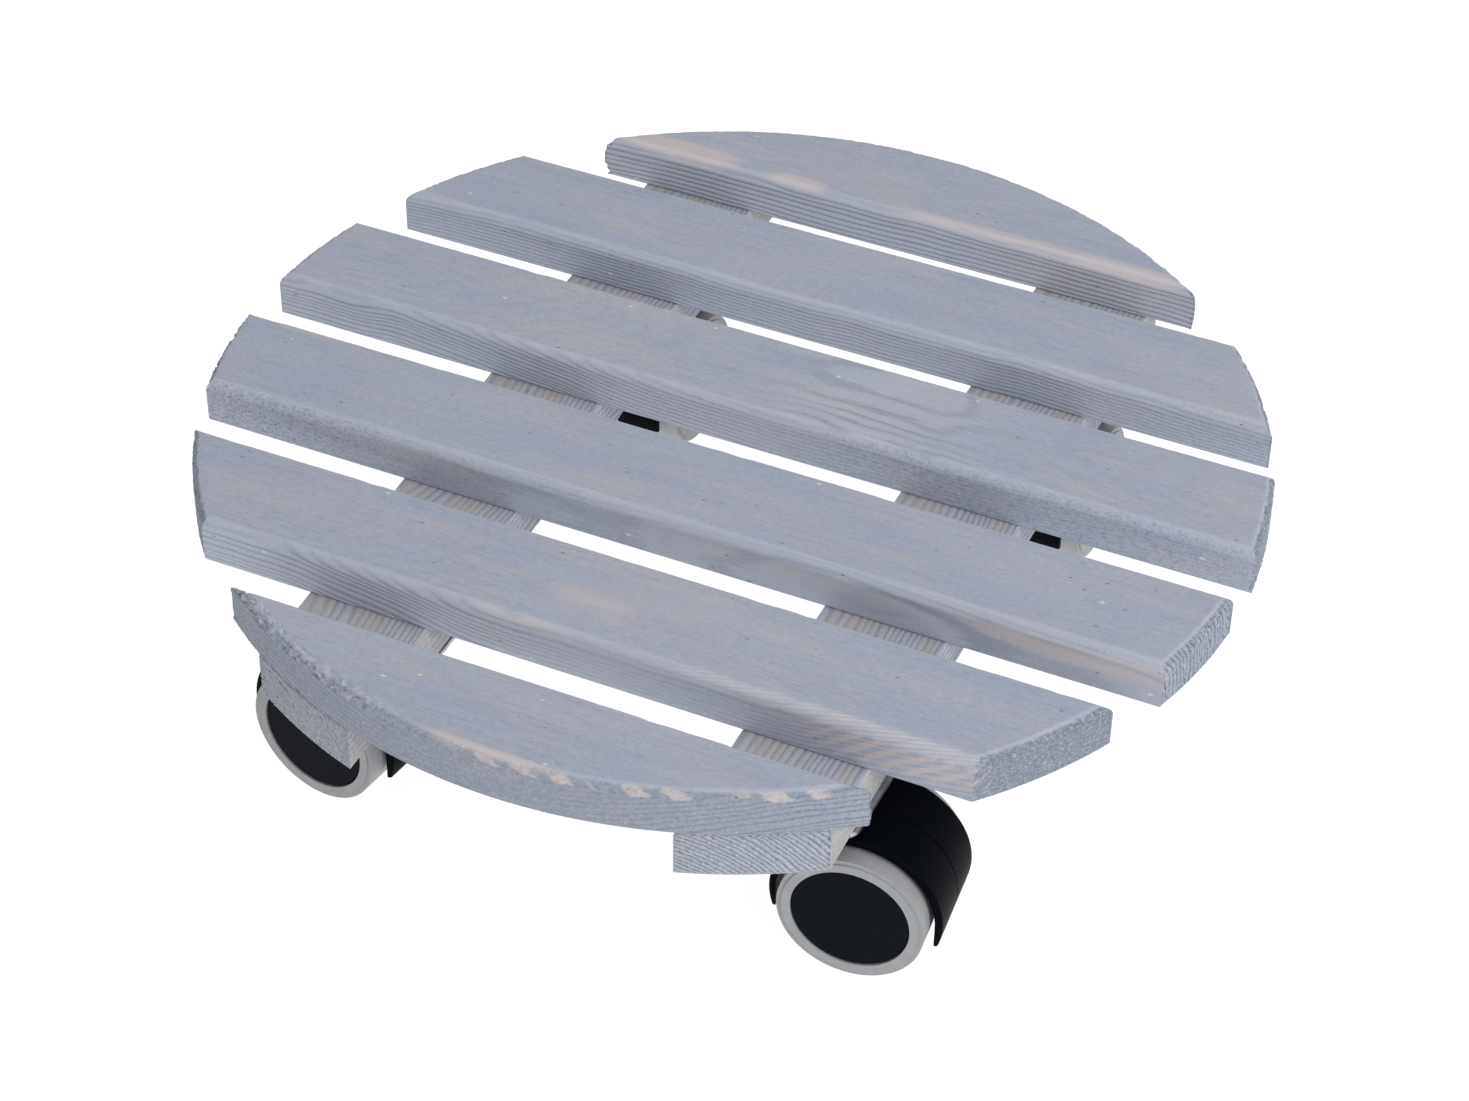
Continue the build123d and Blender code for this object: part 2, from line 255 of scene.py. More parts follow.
def write_mesh(name, points, quads, values):
    """A mesh object from arrays, with its values stored on the vertices."""
    mesh = bpy.data.meshes.new(name)
    mesh.vertices.add(len(points))
    mesh.vertices.foreach_set("co", points.astype(np.float32).ravel())
    mesh.loops.add(quads.size)
    mesh.loops.foreach_set("vertex_index", quads.astype(np.int32).ravel())
    mesh.polygons.add(len(quads))
    mesh.polygons.foreach_set("loop_start", np.arange(0, quads.size, 4, dtype=np.int32))
    mesh.update(calc_edges=True)
    mesh.validate()
    mesh.polygons.foreach_set("use_smooth", np.ones(len(mesh.polygons), bool))
    mesh.set_sharp_from_angle(angle=math.radians(SHARP_ANGLE))
    for key, value in values.items():
        kind, field = ("FLOAT_VECTOR", "vector") if value.ndim == 2 else ("FLOAT", "value")
        data = mesh.attributes.new(key, kind, "POINT").data
        data.foreach_set(field, value.astype(np.float32).ravel())
    piece = bpy.data.objects.new(name, mesh)
    bpy.context.scene.collection.objects.link(piece)
    return piece


# ---- What each board looks like ----
# Lengths are in mm. "Along" is measured from the board's middle, "across" from its centre line
# and height from the floor. An (along, amount) list is a profile along the board.
# seed: picks the board's own pattern.
# pith: where the tree's centre lies, across and up from the board's middle.
# pitch: from one growth ring to the next.
# lean: (from, to, rise) stretches along the board over which the growth rings climb.
# ribs, specks: how strong the raised grain and the rough speckle are, as (along, amount).
# top: how strong the grain's relief is on the planed top, as (along, amount).
# pale: how much lighter the glaze is on the sides, as (along, amount).
# end, shade: relief and darkness of the growth rings on the sawn ends.
# rough, chips: how speckled and how chipped the sawn cut is.
# bare: worn patches (along, half length, across, height, reach, strength, striped), where
#     striped 1 leaves the raw wood only in slanting stripes.
# splits: how far the growth rings break off at the left and right tips.
# blocks: (from, to) stretches with short bare blocks along the rounded rim of the cut.
# crumbs: (from, to) stretches where that rim is crumbly.
PLAIN_LOOKS = dict(bare=[], pale=[(0, 0)], splits=(0, 0), blocks=[], crumbs=[])
SLAT_LOOKS = {
    1: dict(seed=11, chips=0.6, rough=0.5, shade=1.0, end=1.5,
            top=[(0, 0.15)], pith=(14, -62), pitch=1.75, lean=[(-120, 120, 1.5)],
            ribs=[(-120, 1.0), (120, 1.0)], specks=[(-120, 0.1), (120, 0.1)],
            bare=[(-90, 27, -17, 95.6, 6.5, 1.1, 0), (-41, 14, -18.5, 95.6, 4.2, 0.95, 0),
                  (45, 56, -19.5, 95.3, 3.4, 0.85, 0), (92, 26, -20, 95.3, 4.2, 1.1, 0),
                  (80, 48, -23, 87, 9, 0.5, 0)],
            splits=(2.6, 0.6), pale=[(0, 0.5)]),
    2: dict(seed=23, chips=0.8, rough=0.8, shade=1.0, end=0.35,
            top=[(0, 0.15)], pith=(-18, -70), pitch=1.6, lean=[(-160, 160, -2.5)],
            ribs=[(-170, 0.75), (0, 0.8), (170, 0.6)],
            specks=[(-170, 0.1), (90, 0.15), (170, 0.4)],
            bare=[(-120, 50, -21, 95, 2.5, 0.2, 0)]),
    3: dict(seed=37, chips=0.9, rough=0.8, shade=1.0, end=0.35,
            top=[(-190, 0.2), (0, 0.3), (40, 2.0), (90, 0.3), (190, 0.1)],
            pith=(10, -55), pitch=1.45, lean=[(-150, -15, -13), (30, 180, 4)],
            ribs=[(-180, 0.85), (-20, 0.9), (30, 0.45), (60, 0.25), (190, 0.2)],
            specks=[(-180, 0.1), (10, 0.2), (50, 0.6), (190, 0.6)],
            pale=[(-190, 0.5), (-60, 1.0), (-20, 0.9), (30, 0.3), (190, 0.4)],
            bare=[(-50, 50, 10, 96, 12, 0.25, 0), (62, 12, 2, 96, 6, 0.35, 0),
                  (-20, 60, -22.5, 88, 9, 0.35, 0)]),
    4: dict(seed=41, chips=0.8, rough=0.8, shade=1.5, end=0.9,
            top=[(0, 0.1)], pith=(-74, -6), pitch=2.0, lean=[(-180, 0, 3), (60, 190, -6)],
            ribs=[(-185, 0.15), (-60, 0.2), (20, 0.35), (90, 0.65), (190, 0.4)],
            specks=[(-185, 1.1), (-140, 0.85), (-95, 0.45), (-50, 0.3), (40, 0.1), (190, 0.15)],
            bare=[(-162, 16, 20, 95, 3, 0.7, 0), (55, 60, -22, 89, 4.5, 0.5, 0),
                  (148, 46, -22, 90, 5.5, 0.72, 0), (60, 22, 18, 96, 4, 0.35, 0)]),
    5: dict(seed=53, chips=0.5, rough=0.85, shade=1.1, end=0.15,
            top=[(-160, 0.2), (160, 0.15)],
            pith=(8, -48), pitch=1.9, lean=[(-130, -20, -14), (60, 160, 15)],
            ribs=[(-160, 0.6), (-110, 0.75), (-30, 0.8), (10, 0.3), (90, 0.3), (155, 0.5)],
            specks=[(-160, 0.2), (40, 0.1), (155, 0.25)],
            pale=[(-180, 0.9), (-90, 1.0), (-30, 0.6), (10, 0.6), (60, 0)],
            bare=[(-2, 20, -5, 96, 8, 0.62, 0), (20, 30, 3, 96, 10, 0.4, 0),
                  (-30, 70, -22.5, 87, 9, 0.38, 0), (-20, 26, -21, 95, 2.6, 0.65, 0),
                  (56, 30, -20.4, 94.8, 3.4, 0.85, 0.7), (108, 40, -20.8, 94.6, 3.6, 1.05, 0.85),
                  (112, 33, -22.5, 88.5, 7.5, 1.3, 0.95)]),
    6: dict(seed=67, chips=0.25, rough=0.4, shade=1.0, end=0.7,
            top=[(0, 0.15)], pith=(-20, -58), pitch=2.1, lean=[(-100, 100, 6)],
            ribs=[(-115, 0.35), (115, 0.5)], specks=[(-115, 0.55), (0, 0.45), (115, 0.35)],
            bare=[(2, 30, 14.5, 95.8, 2.2, 0.8, 0), (72, 24, -2, 95.8, 3.0, 0.5, 0),
                  (-8, 30, -10, 96, 4, 0.22, 0)],
            splits=(0.4, 0.6), blocks=[(-36, 112)], crumbs=[(-118, -22)]),
}
BATTEN_WOOD = dict(chips=0.3, rough=0.7, shade=0.2, end=1.6, top=[(0, 2.2)],
                   ribs=[(-170, 0.9), (170, 0.9)], specks=[(-170, 0.5), (170, 0.5)])
BATTEN_LOOKS = {
    "left": dict(BATTEN_WOOD, seed=79, pith=(34, -36), pitch=1.6, lean=[(-170, 170, 2)]),
    "right": dict(BATTEN_WOOD, seed=97, pith=(36, -40), pitch=1.5, lean=[(-170, 170, -2)]),
}

# How far the growth rings stray, in mm, and over what length along or across them.
RISE_DRIFT, FINE_DRIFT, SIDE_DRIFT = (5.0, 70), (1.6, 17), (8.0, 90)
RING_WOBBLE = 3.0
RING_UNEVEN, RING_GROUP = 1.2, 3.8   # rings, and mm

# Depths of the boards' relief, in mm.
LEAST_DEPTH = 0.02           # every vertex goes in by at least this much
FACE_RELIEF = 0.22           # from the raised grain to the hollows on a sawn side
END_RELIEF = 0.32
TOP_RELIEF = 0.07
FIBRE_RELIEF = 0.05
SPECK_RELIEF = 0.13
TOP_FIBRE, TOP_WAVE = 0.02, 0.06
STIPPLE = 0.42               # fuzz on cross-cut wood
ARRIS_WEAR = 0.3
CRUMB_DEPTH = 0.9
RIM_CHIPS = (0.25, 0.8)      # at least, and more with the board's chips
SIDE_SHADE_FADE = (85, 136)       # painted shade on a batten's sides, where the slats shade them, fades out between these distances from its middle


def surface(points, normals, looks, centre, top, bottom, sawn_radius, is_batten):
    """Relief and looks of a board's vertices: inward depth, ring number and shader values."""
    a, b, z = points.T
    seed = looks["seed"]

    def field(along, wide, high, number, octaves=3):
        """Noise in the wood, with its own size along, across and up."""
        return fractal(np.stack([a / along, b / wide, z / high], -1), seed + number, octaves)

    def drift(size, length, number):
        return size * (line_noise(a, length, seed + number) - 0.5)

    # Growth rings round the pith, which wanders along the board.
    pith_b, pith_z = looks["pith"]
    lean = sum(rise * smooth(lo, hi, a) for lo, hi, rise in looks["lean"])
    wander = drift(*RISE_DRIFT, 0) + drift(*FINE_DRIFT, 1)
    sway = drift(*SIDE_DRIFT, 2)
    across, up = b - pith_b - sway, z - (top + bottom) / 2 - pith_z - lean - wander
    reach = np.hypot(across, up) + RING_WOBBLE * (field(45, 14, 14, 3) - 0.5)
    phase = reach / looks["pitch"]
    phase = phase + RING_UNEVEN * line_noise(reach, RING_GROUP, seed + 4)
    ridge = (0.5 - 0.5 * np.cos(2 * math.pi * phase)) ** 0.7
    ribs = profile(a, looks["ribs"])
    specks = profile(a, looks["specks"])
    planed = profile(a, looks["top"])

    # Which surface each vertex is on. The cut is the arc's wall and its sanded top edge.
    from_arc = DECK_RADIUS - np.hypot(a, b + centre)
    flat_top = smooth(0.80, 0.995, normals[:, 2])
    underside = smooth(0.6, 0.9, -normals[:, 2])
    outward = (a * normals[:, 0] + (b + centre) * normals[:, 1]) / np.hypot(a, b + centre)
    outward = outward / np.maximum(np.hypot(normals[:, 0], normals[:, 1]), 1e-6)
    sawn = 1 - smooth(sawn_radius + 0.2, sawn_radius + 1.2, from_arc)
    sawn = sawn * smooth(0.65, 0.92, outward)
    sawn = sawn * (1 - flat_top) * (1 - underside)
    side = (1 - sawn) * (1 - flat_top) * (1 - underside)
    arris = side * smooth(0.12, 0.75, normals[:, 2])
    end = sawn * np.clip(np.abs(normals[:, 0]) * 1.3, 0, 1)
    sanded = smooth(0.1, 0.28, normals[:, 2]) * (1 - smooth(0.955, 0.998, normals[:, 2]))
    sanded = sanded * (1 - sawn)
    rim = smooth(top - 4.6, top - 2.4, z) * sawn

    # Raised grain, fibres, fuzz and chips.
    fuzz = field(0.85, 0.85, 0.85, 5, 2)
    broad = field(28, 9, 9, 6)
    fibre = field(9, 0.75, 0.75, 7, 2)
    hollow = 1 - ridge
    depth = np.full(len(a), LEAST_DEPTH)
    depth += side * ribs * FACE_RELIEF * (1 - 0.45 * arris / np.maximum(side, 1e-6)) * hollow
    depth += side * (FIBRE_RELIEF * fibre + specks * SPECK_RELIEF * fuzz)
    depth += flat_top * (planed * TOP_RELIEF * hollow + TOP_FIBRE * fibre + TOP_WAVE * broad)
    depth += end * looks["end"] * END_RELIEF * hollow + sawn * STIPPLE * fuzz
    depth += sawn * looks["chips"] * smooth(0.55, 0.8, field(2.6, 2.6, 2.6, 8, 2))
    depth += arris * ARRIS_WEAR * smooth(0.45, 0.9, line_noise(a, 6, seed + 9) * broad * 1.6)
    rim_depth = RIM_CHIPS[0] + RIM_CHIPS[1] * looks["chips"]
    depth += rim * rim_depth * smooth(0.5, 0.8, field(1.6, 1.6, 3.0, 10, 2))
    crumbly = np.zeros(len(a))
    for lo, hi in looks["crumbs"]:
        window = smooth(lo, lo + 6, a) * (1 - smooth(hi - 40, hi, a))
        band = 1 - smooth(sawn_radius - 0.5, sawn_radius + 1.5, from_arc)
        band = band * smooth(0.1, 0.3, normals[:, 2])
        crumbly = np.maximum(crumbly, window * band)
        depth += CRUMB_DEPTH * window * band * smooth(0.42, 0.62, field(1.5, 1.5, 1.5, 23, 2))

    # Worn patches, where the raw wood shows through the glaze, some of them in stripes. The
    # stripes have their own cycles per mm up and along, and the noise bends them.
    bare = np.zeros(len(a))
    on_side = 0.5 + 0.5 * np.sin(2 * math.pi * (0.192 * z - 0.125 * a + 0.7 * broad))
    on_arris = 0.5 + 0.5 * np.sin(2 * math.pi * (0.5 * (b + z) - 0.16 * a + 0.5 * broad))
    stripe = on_side + (on_arris - on_side) * smooth(0.1, 0.35, normals[:, 2])
    for place, length, at_b, at_z, size, strength, striped in looks["bare"]:
        along = np.exp(-np.abs((a - place) / length) ** 4)
        spread = np.exp(-(((b - at_b) ** 2 + (z - at_z) ** 2) / size ** 2) ** 1.5)
        bare = np.maximum(bare, strength * along * spread * (1 - striped * (1 - stripe)))
    # Blocks of bare wood along the rounded rim of the cut.
    for lo, hi in looks["blocks"]:
        slant = a + 1.6 * (z - top)
        beat = 0.5 + 0.5 * np.cos(2 * math.pi * (slant / 13 + 0.8 * line_noise(a, 34, seed + 20)))
        lump = line_noise(slant, 10, seed + 21)
        window = smooth(lo, lo + 50, a) * (1 - smooth(hi - 15, hi, a))
        band = sawn * smooth(0.12, 0.3, normals[:, 2])
        block = smooth(0.35, 0.55, beat) * smooth(0.2, 0.4, lump)
        bare = np.maximum(bare, 1.2 * window * band * block)
    # A batten's sides stay raw at its ends. Between the ends they get painted shade for the shadow
    # of the slats above: less raw wood and a darker tone.
    painted_side_shade = (1 - smooth(*SIDE_SHADE_FADE, np.abs(a))) * side * is_batten
    if is_batten:
        bare = np.maximum(bare, side * 0.72 - 0.42 * painted_side_shade)
        cloudy = smooth(0.35, 0.65, line_noise(reach, 3.1, seed + 22))
        bare = np.maximum(bare, flat_top * (0.3 + 0.35 * cloudy))
        bare = np.maximum(bare, underside * 0.55)

    raised = ribs * (side - 0.7 * arris) + 0.3 * planed * flat_top
    raised = raised + end * looks["end"] + 0.4 * underside
    speckle = specks * side + sawn * looks["rough"] + 0.4 * looks["chips"] * rim
    speckle = speckle + 0.3 * underside + 0.5 * crumbly
    worn = np.maximum(sanded, 0.8 * crumbly)
    values = {
        "phase": phase,
        "ribs": np.clip(raised, 0, 1),
        "specks": np.clip(speckle, 0, 1.2),
        "bare": bare,
        # sawn: the sawn cut's darker tone, plus painted shade on a batten's sides between its ends
        "sawn": sawn * (0.75 + looks["shade"] * end) + painted_side_shade,
        "arris": np.maximum(worn, side * profile(a, looks["pale"])),
        "grain": np.stack([a, b, z], -1) + seed * np.array([7.1, 3.3, 1.7]),
    }
    return depth, phase, values


def countersinks(points, bottom, places):
    """Lifts the underside into a cone round each screw head, so that the head shows."""
    for x, y in places:
        r = np.hypot(points[:, 0] - x, points[:, 1] - y)
        lift = np.clip(SCREW_HEAD / 2 + SCREW_ROOM - r, 0, (SCREW_HEAD - SCREW_SHANK) / 2)
        # The underside and its bevel, with room for their relief.
        under = points[:, 2] < bottom + BOTTOM_EDGE + 0.2
        points[:, 2] = np.where(under, points[:, 2] + lift, points[:, 2])
    return points


def build_board(name, node, looks, half, centre, arris, sawn, origin, angle, mirror, screws=()):
    """One board in place of its CAD node."""
    looks = {**PLAIN_LOOKS, **looks}
    lo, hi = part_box(node)
    bottom, top = lo.z / MM, hi.z / MM
    is_batten = "batten" in node
    # The circle leaves an outermost board no outer side.
    if centre + half > DECK_RADIUS - 1:
        a, b = segment_grid(half, centre, arris, sawn)
    else:
        a, b = plain_grid(half, centre, arris, sawn, BATTEN_STEP if is_batten else SLAT_STEP)
    points, quads = board_shell(a, b, top, bottom, arris, sawn, half, centre)
    normals = vertex_normals(points, quads)
    depth, phase, values = surface(points, normals, looks, centre, top, bottom, sawn, is_batten)
    points = points - normals * depth[:, None]
    # Splintered ends: every growth ring breaks off at its own length.
    for sign, size in zip((-1, 1), looks["splits"]):
        if size:
            tip = np.abs(points[:, 0]).max()
            near = smooth(tip - 2.2 * size, tip, sign * points[:, 0])
            layer = np.floor(phase * 0.8).astype(np.int64)
            torn = 0.9 * lattice(layer, 0 * layer, 0 * layer, looks["seed"] + 31)
            lump = np.stack([0 * phase, points[:, 1] / 2.6, points[:, 2] / 2.1], -1)
            torn = torn + 0.35 * smooth(0.35, 0.7, fractal(lump, looks["seed"] + 32, 2))
            points[:, 0] -= sign * near * size * torn
    cos, sin = math.cos(angle), math.sin(angle)
    if mirror:
        points[:, 1] = -points[:, 1]
        quads = quads[:, ::-1]
    world = points.copy()
    world[:, 0] = origin[0] + points[:, 0] * cos - points[:, 1] * sin
    world[:, 1] = origin[1] + points[:, 0] * sin + points[:, 1] * cos
    if screws:
        world = countersinks(world, bottom, screws)
    piece = write_mesh(name, world * MM, quads, values)
    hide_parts(node)
    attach(piece, "deck")
    return piece


# ---- Shader building ----
class Shader:
    """Short names for the nodes that the finishes use."""

    def __init__(self, name):
        self.material = bpy.data.materials.new(name)
        self.material.use_nodes = True
        self.tree = self.material.node_tree
        self.bsdf = self.tree.nodes["Principled BSDF"]

    def put(self, socket, value):
        if isinstance(value, bpy.types.NodeSocket):
            self.tree.links.new(value, socket)
        else:
            socket.default_value = value

    def attribute(self, name):
        node = self.tree.nodes.new("ShaderNodeAttribute")
        node.attribute_name = name
        return node.outputs["Vector" if name == "grain" else "Fac"]

    def place(self):
        """The object's own coordinates, in metres."""
        return self.tree.nodes.new("ShaderNodeTexCoord").outputs["Object"]

    def place_mm(self):
        return self.scaled(self.place(), (1000, 1000, 1000))

    def scaled(self, vector, scale, shift=(0, 0, 0)):
        node = self.tree.nodes.new("ShaderNodeMapping")
        self.put(node.inputs["Vector"], vector)
        node.inputs["Scale"].default_value = scale
        node.inputs["Location"].default_value = shift
        return node.outputs["Vector"]

    def noise(self, vector, scale, detail=3.0, rough=0.55, distort=0.0):
        node = self.tree.nodes.new("ShaderNodeTexNoise")
        self.put(node.inputs["Vector"], vector)
        for key, value in (("Scale", scale), ("Detail", detail),
                           ("Roughness", rough), ("Distortion", distort)):
            node.inputs[key].default_value = value
        return node.outputs["Fac"]

    def cells(self, vector, scale):
        node = self.tree.nodes.new("ShaderNodeTexVoronoi")
        self.put(node.inputs["Vector"], vector)
        node.inputs["Scale"].default_value = scale
        return node.outputs["Distance"]

    def math(self, kind, x, y=0.0):
        node = self.tree.nodes.new("ShaderNodeMath")
        node.operation = kind
        for socket, value in zip(node.inputs, (x, y)):
            self.put(socket, value)
        return node.outputs[0]

    def times(self, x, y):
        return self.math("MULTIPLY", x, y)

    def plus(self, x, y):
        return self.math("ADD", x, y)

    def minus(self, x, y):
        return self.math("SUBTRACT", x, y)

    def step(self, x, lo, hi, to_lo=0.0, to_hi=1.0):
        node = self.tree.nodes.new("ShaderNodeMapRange")
        node.interpolation_type = "SMOOTHSTEP"
        self.put(node.inputs["Value"], x)
        for key, value in (("From Min", lo), ("From Max", hi),
                           ("To Min", to_lo), ("To Max", to_hi)):
            node.inputs[key].default_value = value
        return node.outputs["Result"]

    def mix(self, amount, one, two):
        node = self.tree.nodes.new("ShaderNodeMix")
        node.data_type = "RGBA"
        self.put(node.inputs["Factor"], amount)
        for key, value in (("A", one), ("B", two)):
            socket = [s for s in node.inputs if s.name == key and s.type == "RGBA"][0]
            self.put(socket, value)
        return [s for s in node.outputs if s.type == "RGBA"][0]

    def coat(self, under, over, amount, strength):
        """Lays a display colour over another one, where and as much as the amount says."""
        return self.mix(self.times(amount, strength), under, srgb(*over))

    def bump(self, height, distance, strength):
        node = self.tree.nodes.new("ShaderNodeBump")
        self.put(node.inputs["Height"], height)
        node.inputs["Distance"].default_value = distance
        node.inputs["Strength"].default_value = strength
        return node.outputs["Normal"]

    def finish(self, **sockets):
        """Fills the shader's own sockets, which are named like base_color here."""
        for key, value in sockets.items():
            socket = key.replace("_", " ").title().replace("Ior", "IOR")
            self.put(self.bsdf.inputs[socket], value)
        return self.material


def srgb(r, g, b):
    """A linear colour from display values, 0 to 255."""
    def linear(v):
        v /= 255
        return v / 12.92 if v <= 0.04045 else ((v + 0.055) / 1.055) ** 2.4
    return (linear(r), linear(g), linear(b), 1.0)


def shifted(colour, step):
    """A display colour made lighter or darker by a step."""
    return [c + step for c in colour]


# Display colours of what shows in the glaze.
WARM = (177, 172, 177)             # a little wood through the glaze
DARK_STREAK, PALE_STREAK = (132, 141, 158), (176, 182, 192)
DARK_NAP, PALE_NAP = (132, 139, 154), (186, 191, 201)
# The first colour on the next line is the sawn cut's darker tone and also the painted shade on a
# batten's sides.
SAWN_TONE_AND_SHADE, SANDED = (121, 129, 143), (184, 191, 205)
HOLLOW, RAISED = (100, 108, 125), (190, 195, 206)
THIN, RAW_EDGE = (184, 178, 181), (204, 201, 207)
PIT, FLECK = (86, 96, 112), (200, 207, 216)
PORE, NICK, CHIP = (92, 94, 100), (112, 118, 132), (222, 220, 212)
# Bump depths in metres.
WOOD_BUMP, TYRE_BUMP, STEEL_BUMP = 0.00016, 0.00005, 0.00002


def glazed_wood(name, tint, raw_light, raw_dark):
    """Blue-grey glaze on planed and sawn softwood. It follows the values stored on the boards."""
    s = Shader(name)
    grain = s.attribute("grain")
    slow = s.noise(s.scaled(grain, (0.012, 0.05, 0.05)), 1.0, 2.0)
    streak = s.noise(s.scaled(grain, (0.035, 0.85, 0.85)), 1.0, 4.0, 0.62)
    fibre = s.noise(s.scaled(grain, (0.2, 2.1, 2.1)), 1.0, 4.0, 0.65)
    grit = s.noise(s.scaled(grain, (0.75, 1.0, 1.0)), 1.0, 5.0, 0.75)
    nap = s.noise(s.scaled(grain, (0.42, 1.25, 1.25)), 1.0, 5.0, 0.75)
    drift = s.noise(s.scaled(grain, (0.02, 0.11, 0.11), (40, 9, 2)), 1.0, 3.0)
    pores = s.cells(s.scaled(grain, (0.06, 0.2, 0.2)), 1.0)
    nicks = s.cells(s.scaled(grain, (0.11, 0.5, 0.5), (3, 8, 1)), 1.0)
    chips = s.cells(s.scaled(grain, (0.036, 0.07, 0.07), (11, 5, 2)), 1.0)
    ribs, specks, bare = s.attribute("ribs"), s.attribute("specks"), s.attribute("bare")
    sawn, arris = s.attribute("sawn"), s.attribute("arris")
    sway = s.minus(streak, 0.5)
    turn = s.math("FRACT", s.plus(s.attribute("phase"), s.times(sway, 0.45)))
    late = s.times(s.step(turn, 0.06, 0.34), s.step(turn, 0.76, 0.97, 1.0, 0.0))

    # A faint warm show-through in drifting patches, then long soft streaks and nap.
    light, dark = srgb(*tint), srgb(tint[0] - 9, tint[1] - 6, tint[2] - 2)
    colour = s.mix(s.step(slow, 0.3, 0.7), light, dark)
    colour = s.coat(colour, WARM, s.step(drift, 0.44, 0.7), 0.52)
    colour = s.coat(colour, DARK_STREAK, s.step(streak, 0.5, 0.78), 0.42)
    colour = s.coat(colour, PALE_STREAK, s.step(streak, 0.5, 0.25), 0.32)
    colour = s.coat(colour, DARK_NAP, s.step(nap, 0.5, 0.68), 0.4)
    colour = s.coat(colour, PALE_NAP, s.step(nap, 0.5, 0.32), 0.36)
    # The sawn cut is darker, and the same coat paints shade on a batten's sides between its ends.
    # Hollows between the raised grain hold more glaze.
    colour = s.coat(colour, SAWN_TONE_AND_SHADE, sawn, 0.5)
    colour = s.coat(colour, SANDED, arris, 0.45)
    colour = s.coat(colour, HOLLOW, s.times(ribs, s.minus(1.0, late)), 0.46)
    colour = s.coat(colour, RAISED, s.times(ribs, late), 0.5)
    # Raw wood where the glaze is thin.
    colour = s.coat(colour, THIN, bare, 0.4)
    reach = s.plus(s.plus(bare, s.times(sway, 0.9)), s.times(s.minus(late, 0.5), 0.14))
    raw = s.times(s.step(reach, 0.34, 0.95), s.step(bare, 0.02, 0.3))
    raw_colour = s.mix(fibre, srgb(*raw_light), srgb(*raw_dark))
    raw_colour = s.coat(raw_colour, RAW_EDGE, arris, 0.5)
    colour = s.mix(s.times(raw, 0.78), colour, raw_colour)
    # Dark and light specks of rough fibre.
    colour = s.coat(colour, PIT, s.times(specks, s.step(grit, 0.525, 0.61)), 0.5)
    colour = s.coat(colour, FLECK, s.times(specks, s.step(grit, 0.475, 0.39)), 0.45)
    # Sparse pores, grime in the odd nick, and a few pale chips.
    colour = s.coat(colour, PORE, s.step(pores, 0.06, 0.03), 0.7)
    colour = s.coat(colour, NICK, s.step(nicks, 0.09, 0.04), 0.35)
    colour = s.coat(colour, CHIP, s.step(chips, 0.042, 0.03), 0.65)

    height = s.plus(s.times(fibre, 0.5), s.times(streak, 0.45))
    height = s.plus(height, s.times(s.times(grit, s.plus(specks, 0.12)), 1.6))
    height = s.plus(height, s.times(s.times(late, ribs), 0.5))
    height = s.plus(height, s.times(nap, 0.35))
    height = s.minus(height, s.times(s.step(pores, 0.07, 0.03), 1.2))
    rough = s.plus(s.plus(s.times(grit, 0.16), s.times(raw, 0.06)), 0.66)
    return s.finish(base_color=colour, roughness=rough, normal=s.bump(height, WOOD_BUMP, 0.9),
                    specular_ior_level=0.32)


def moulded_plastic(name, colour, roughness, grain_size, grain_depth, specular=0.5):
    """Injection-moulded plastic: fine mould texture, faint flow marks, dust and rubbed spots."""
    s = Shader(name)
    here = s.place_mm()
    mould = s.noise(here, 1 / grain_size, 3.0, 0.6)
    flow = s.noise(s.scaled(here, (0.06, 0.06, 0.11)), 1.0, 4.0, 0.6, 0.4)
    rubbed = s.noise(s.scaled(here, (0.9, 0.9, 0.25)), 1.0, 5.0, 0.7)
    tone = s.coat(srgb(*colour), shifted(colour, 16), s.step(flow, 0.45, 0.75), 0.12)
    tone = s.coat(tone, [0.7 * c for c in colour], s.step(mould, 0.5, 0.75), 0.2)
    scuff = s.times(s.step(rubbed, 0.66, 0.74), 0.25)
    tone = s.mix(scuff, tone, srgb(*shifted(colour, 26)))
    rough = s.plus(s.times(flow, 0.16), roughness - 0.08)
    rough = s.plus(rough, s.times(scuff, 0.5))
    height = s.plus(mould, s.times(rubbed, 0.35))
    return s.finish(base_color=tone, roughness=rough,
                    normal=s.bump(height, grain_depth * MM, 0.8), specular_ior_level=specular)


def soft_tyre(name, colour):
    """Grey thermoplastic rubber: chalky, slightly mottled, with floor dust and fine scratches."""
    s = Shader(name)
    here = s.place_mm()
    mottle = s.noise(s.scaled(here, (0.12, 0.12, 0.12)), 1.0, 4.0, 0.6)
    skin = s.noise(here, 2.6, 3.0, 0.6)
    dirt = s.noise(s.scaled(here, (0.3, 0.3, 0.3), (5, 1, 8)), 1.0, 5.0, 0.65)
    tone = s.mix(s.step(mottle, 0.35, 0.7), srgb(*colour), srgb(*shifted(colour, -7)))
    tone = s.coat(tone, (128, 127, 124), s.step(dirt, 0.6, 0.75), 0.16)
    tone = s.coat(tone, (180, 182, 182), s.step(skin, 0.58, 0.75), 0.15)
    rough = s.plus(s.times(mottle, 0.2), 0.48)
    height = s.plus(skin, s.times(dirt, 0.6))
    return s.finish(base_color=tone, roughness=rough, normal=s.bump(height, TYRE_BUMP, 0.7),
                    specular_ior_level=0.4)


